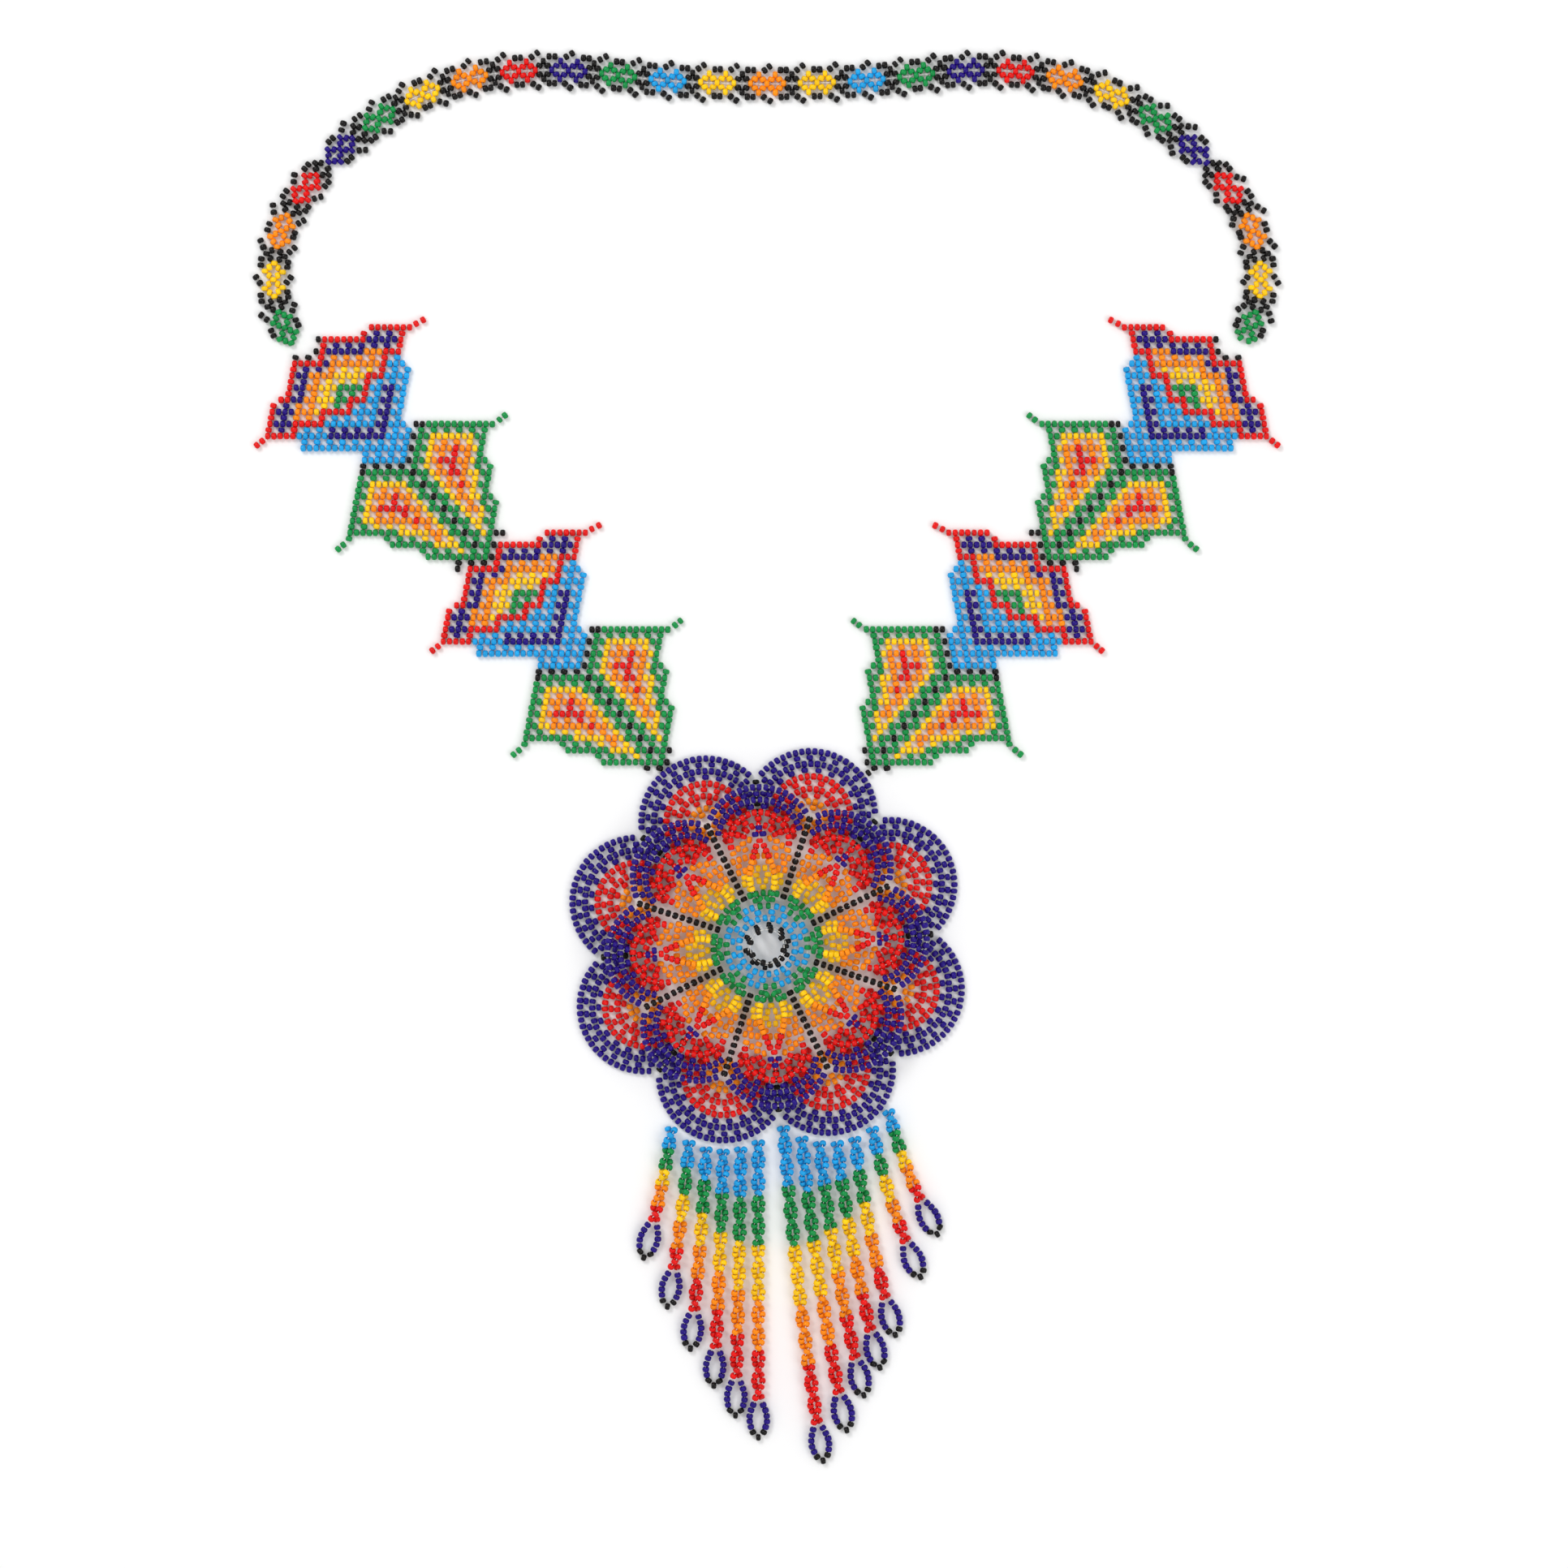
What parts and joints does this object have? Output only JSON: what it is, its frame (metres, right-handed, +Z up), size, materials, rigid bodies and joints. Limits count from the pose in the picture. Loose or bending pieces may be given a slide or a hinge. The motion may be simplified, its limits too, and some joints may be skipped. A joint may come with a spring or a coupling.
{
  "type": "beaded flower necklace",
  "caption": "Seed-bead necklace laid flat: netted flower medallion, tulip and leaf side panels, lozenge strap and looped bead fringe.",
  "frame": {"origin": "centre of the footprint on the table", "axes": "+X to the wearer's left as seen in the picture's right, +Y from the fringe towards the neck, +Z up from the table, front face up"},
  "size_m": [0.304, 0.418, 0.0103],
  "materials": {
    "bead_glass": "gloss",
    "black_glass": "gloss",
    "navy_glass": "gloss",
    "thread": "gloss"
  },
  "bodies": {
    "medallion": {"eye_beads": "black_glass", "inner_flower_beads": "bead_glass", "inner_flower_threads": "thread", "outer_flower_beads": "navy_glass", "outer_flower_threads": "thread", "seam_beads": "black_glass", "stamen_beads": "bead_glass"},
    "left_upper_tulip": {"left_upper_tulip_beads": "bead_glass", "left_upper_tulip_binding": "thread"},
    "left_upper_leaf": {"left_upper_leaf_beads": "bead_glass", "left_upper_leaf_binding": "thread"},
    "left_lower_tulip": {"left_lower_tulip_beads": "bead_glass", "left_lower_tulip_binding": "thread"},
    "left_lower_leaf": {"left_lower_leaf_beads": "bead_glass", "left_lower_leaf_binding": "thread"},
    "strap_left": {"strap_left_beads": "bead_glass", "strap_left_binding": "thread"},
    "right_upper_tulip": {"right_upper_tulip_beads": "bead_glass", "right_upper_tulip_binding": "thread"},
    "right_upper_leaf": {"right_upper_leaf_beads": "bead_glass", "right_upper_leaf_binding": "thread"},
    "right_lower_tulip": {"right_lower_tulip_beads": "bead_glass", "right_lower_tulip_binding": "thread"},
    "right_lower_leaf": {"right_lower_leaf_beads": "bead_glass", "right_lower_leaf_binding": "thread"},
    "strap_right": {"strap_right_beads": "bead_glass", "strap_right_binding": "thread"},
    "strap_top": {"strap_top_beads": "bead_glass", "strap_top_binding": "thread"},
    "fringe_01": {"fringe_01_beads": "bead_glass", "fringe_01_end": "black_glass"},
    "fringe_02": {"fringe_02_beads": "bead_glass", "fringe_02_end": "black_glass"},
    "fringe_03": {"fringe_03_beads": "bead_glass", "fringe_03_end": "black_glass"},
    "fringe_04": {"fringe_04_beads": "bead_glass", "fringe_04_end": "black_glass"},
    "fringe_05": {"fringe_05_beads": "bead_glass", "fringe_05_end": "black_glass"},
    "fringe_06": {"fringe_06_beads": "bead_glass", "fringe_06_end": "black_glass"},
    "fringe_07": {"fringe_07_beads": "bead_glass", "fringe_07_end": "black_glass"},
    "fringe_08": {"fringe_08_beads": "bead_glass", "fringe_08_end": "black_glass"},
    "fringe_09": {"fringe_09_beads": "bead_glass", "fringe_09_end": "black_glass"},
    "fringe_10": {"fringe_10_beads": "bead_glass", "fringe_10_end": "black_glass"},
    "fringe_11": {"fringe_11_beads": "bead_glass", "fringe_11_end": "black_glass"},
    "fringe_12": {"fringe_12_beads": "bead_glass", "fringe_12_end": "black_glass"},
    "fringe_13": {"fringe_13_beads": "bead_glass", "fringe_13_end": "black_glass"}
  },
  "joints": [
    {"name": "left_lower_leaf_fold", "type": "hinge", "parent": "medallion", "child": "left_lower_leaf", "pos_m": [-0.07, -0.00159, 0.001], "axis": [1, 0, 0], "range_deg": [-20, 25]},
    {"name": "right_lower_leaf_fold", "type": "hinge", "parent": "medallion", "child": "right_lower_leaf", "pos_m": [0.07, -0.00159, 0.001], "axis": [1, 0, 0], "range_deg": [-20, 25]},
    {"name": "left_lower_tulip_fold", "type": "hinge", "parent": "left_lower_leaf", "child": "left_lower_tulip", "pos_m": [-0.07, 0.0234, 0.001], "axis": [1, 0, 0], "range_deg": [-20, 25]},
    {"name": "right_lower_tulip_fold", "type": "hinge", "parent": "right_lower_leaf", "child": "right_lower_tulip", "pos_m": [0.07, 0.0234, 0.001], "axis": [1, 0, 0], "range_deg": [-20, 25]},
    {"name": "left_upper_leaf_fold", "type": "hinge", "parent": "left_lower_tulip", "child": "left_upper_leaf", "pos_m": [-0.07, 0.05554, 0.001], "axis": [1, 0, 0], "range_deg": [-20, 25]},
    {"name": "right_upper_leaf_fold", "type": "hinge", "parent": "right_lower_tulip", "child": "right_upper_leaf", "pos_m": [0.07, 0.05554, 0.001], "axis": [1, 0, 0], "range_deg": [-20, 25]},
    {"name": "left_upper_tulip_fold", "type": "hinge", "parent": "left_upper_leaf", "child": "left_upper_tulip", "pos_m": [-0.07, 0.0841, 0.001], "axis": [1, 0, 0], "range_deg": [-20, 25]},
    {"name": "right_upper_tulip_fold", "type": "hinge", "parent": "right_upper_leaf", "child": "right_upper_tulip", "pos_m": [0.07, 0.0841, 0.001], "axis": [1, 0, 0], "range_deg": [-20, 25]},
    {"name": "strap_left_fold", "type": "hinge", "parent": "left_upper_tulip", "child": "strap_left", "pos_m": [-0.07, 0.11624, 0.001], "axis": [1, 0, 0], "range_deg": [-20, 25]},
    {"name": "strap_right_fold", "type": "hinge", "parent": "right_upper_tulip", "child": "strap_right", "pos_m": [0.07, 0.11624, 0.001], "axis": [1, 0, 0], "range_deg": [-20, 25]},
    {"name": "strap_top_fold", "type": "hinge", "parent": "strap_left", "child": "strap_top", "pos_m": [-0.12957, 0.17591, 0.001], "axis": [1, 0, 0], "range_deg": [-20, 25]},
    {"name": "fringe_01_swing", "type": "hinge", "parent": "medallion", "child": "fringe_01", "pos_m": [-0.02812, -0.10888, 0.001], "axis": [0.9913, -0.1317, 0], "range_deg": [-60, 30]},
    {"name": "fringe_02_swing", "type": "hinge", "parent": "medallion", "child": "fringe_02", "pos_m": [-0.02294, -0.11283, 0.001], "axis": [0.9966, -0.0819, 0], "range_deg": [-60, 30]},
    {"name": "fringe_03_swing", "type": "hinge", "parent": "medallion", "child": "fringe_03", "pos_m": [-0.01794, -0.11476, 0.001], "axis": [0.9988, -0.0485, 0], "range_deg": [-60, 30]},
    {"name": "fringe_04_swing", "type": "hinge", "parent": "medallion", "child": "fringe_04", "pos_m": [-0.01295, -0.11538, 0.001], "axis": [0.9997, -0.0247, 0], "range_deg": [-60, 30]},
    {"name": "fringe_05_swing", "type": "hinge", "parent": "medallion", "child": "fringe_05", "pos_m": [-0.00777, -0.11476, 0.001], "axis": [0.9999, -0.0123, 0], "range_deg": [-60, 30]},
    {"name": "fringe_06_swing", "type": "hinge", "parent": "medallion", "child": "fringe_06", "pos_m": [-0.00259, -0.11272, 0.001], "axis": [1, 0, 0], "range_deg": [-60, 30]},
    {"name": "fringe_07_swing", "type": "hinge", "parent": "medallion", "child": "fringe_07", "pos_m": [0.00481, -0.10853, 0.001], "axis": [0.9974, 0.0727, 0], "range_deg": [-60, 30]},
    {"name": "fringe_08_swing", "type": "hinge", "parent": "medallion", "child": "fringe_08", "pos_m": [0.01018, -0.11168, 0.001], "axis": [0.9956, 0.0937, 0], "range_deg": [-60, 30]},
    {"name": "fringe_09_swing", "type": "hinge", "parent": "medallion", "child": "fringe_09", "pos_m": [0.01536, -0.11304, 0.001], "axis": [0.9942, 0.1075, 0], "range_deg": [-60, 30]},
    {"name": "fringe_10_swing", "type": "hinge", "parent": "medallion", "child": "fringe_10", "pos_m": [0.02054, -0.11307, 0.001], "axis": [0.9931, 0.117, 0], "range_deg": [-60, 30]},
    {"name": "fringe_11_swing", "type": "hinge", "parent": "medallion", "child": "fringe_11", "pos_m": [0.02571, -0.11179, 0.001], "axis": [0.9919, 0.1272, 0], "range_deg": [-60, 30]},
    {"name": "fringe_12_swing", "type": "hinge", "parent": "medallion", "child": "fringe_12", "pos_m": [0.03089, -0.1089, 0.001], "axis": [0.9804, 0.197, 0], "range_deg": [-60, 30]},
    {"name": "fringe_13_swing", "type": "hinge", "parent": "medallion", "child": "fringe_13", "pos_m": [0.03571, -0.10378, 0.001], "axis": [0.9712, 0.2381, 0], "range_deg": [-60, 30]}
  ],
  "couplings": [
    {"joint": "right_lower_leaf_fold", "follows": "left_lower_leaf_fold", "ratio": 1},
    {"joint": "right_lower_tulip_fold", "follows": "left_lower_tulip_fold", "ratio": 1},
    {"joint": "right_upper_leaf_fold", "follows": "left_upper_leaf_fold", "ratio": 1},
    {"joint": "right_upper_tulip_fold", "follows": "left_upper_tulip_fold", "ratio": 1},
    {"joint": "strap_right_fold", "follows": "strap_left_fold", "ratio": 1}
  ]
}
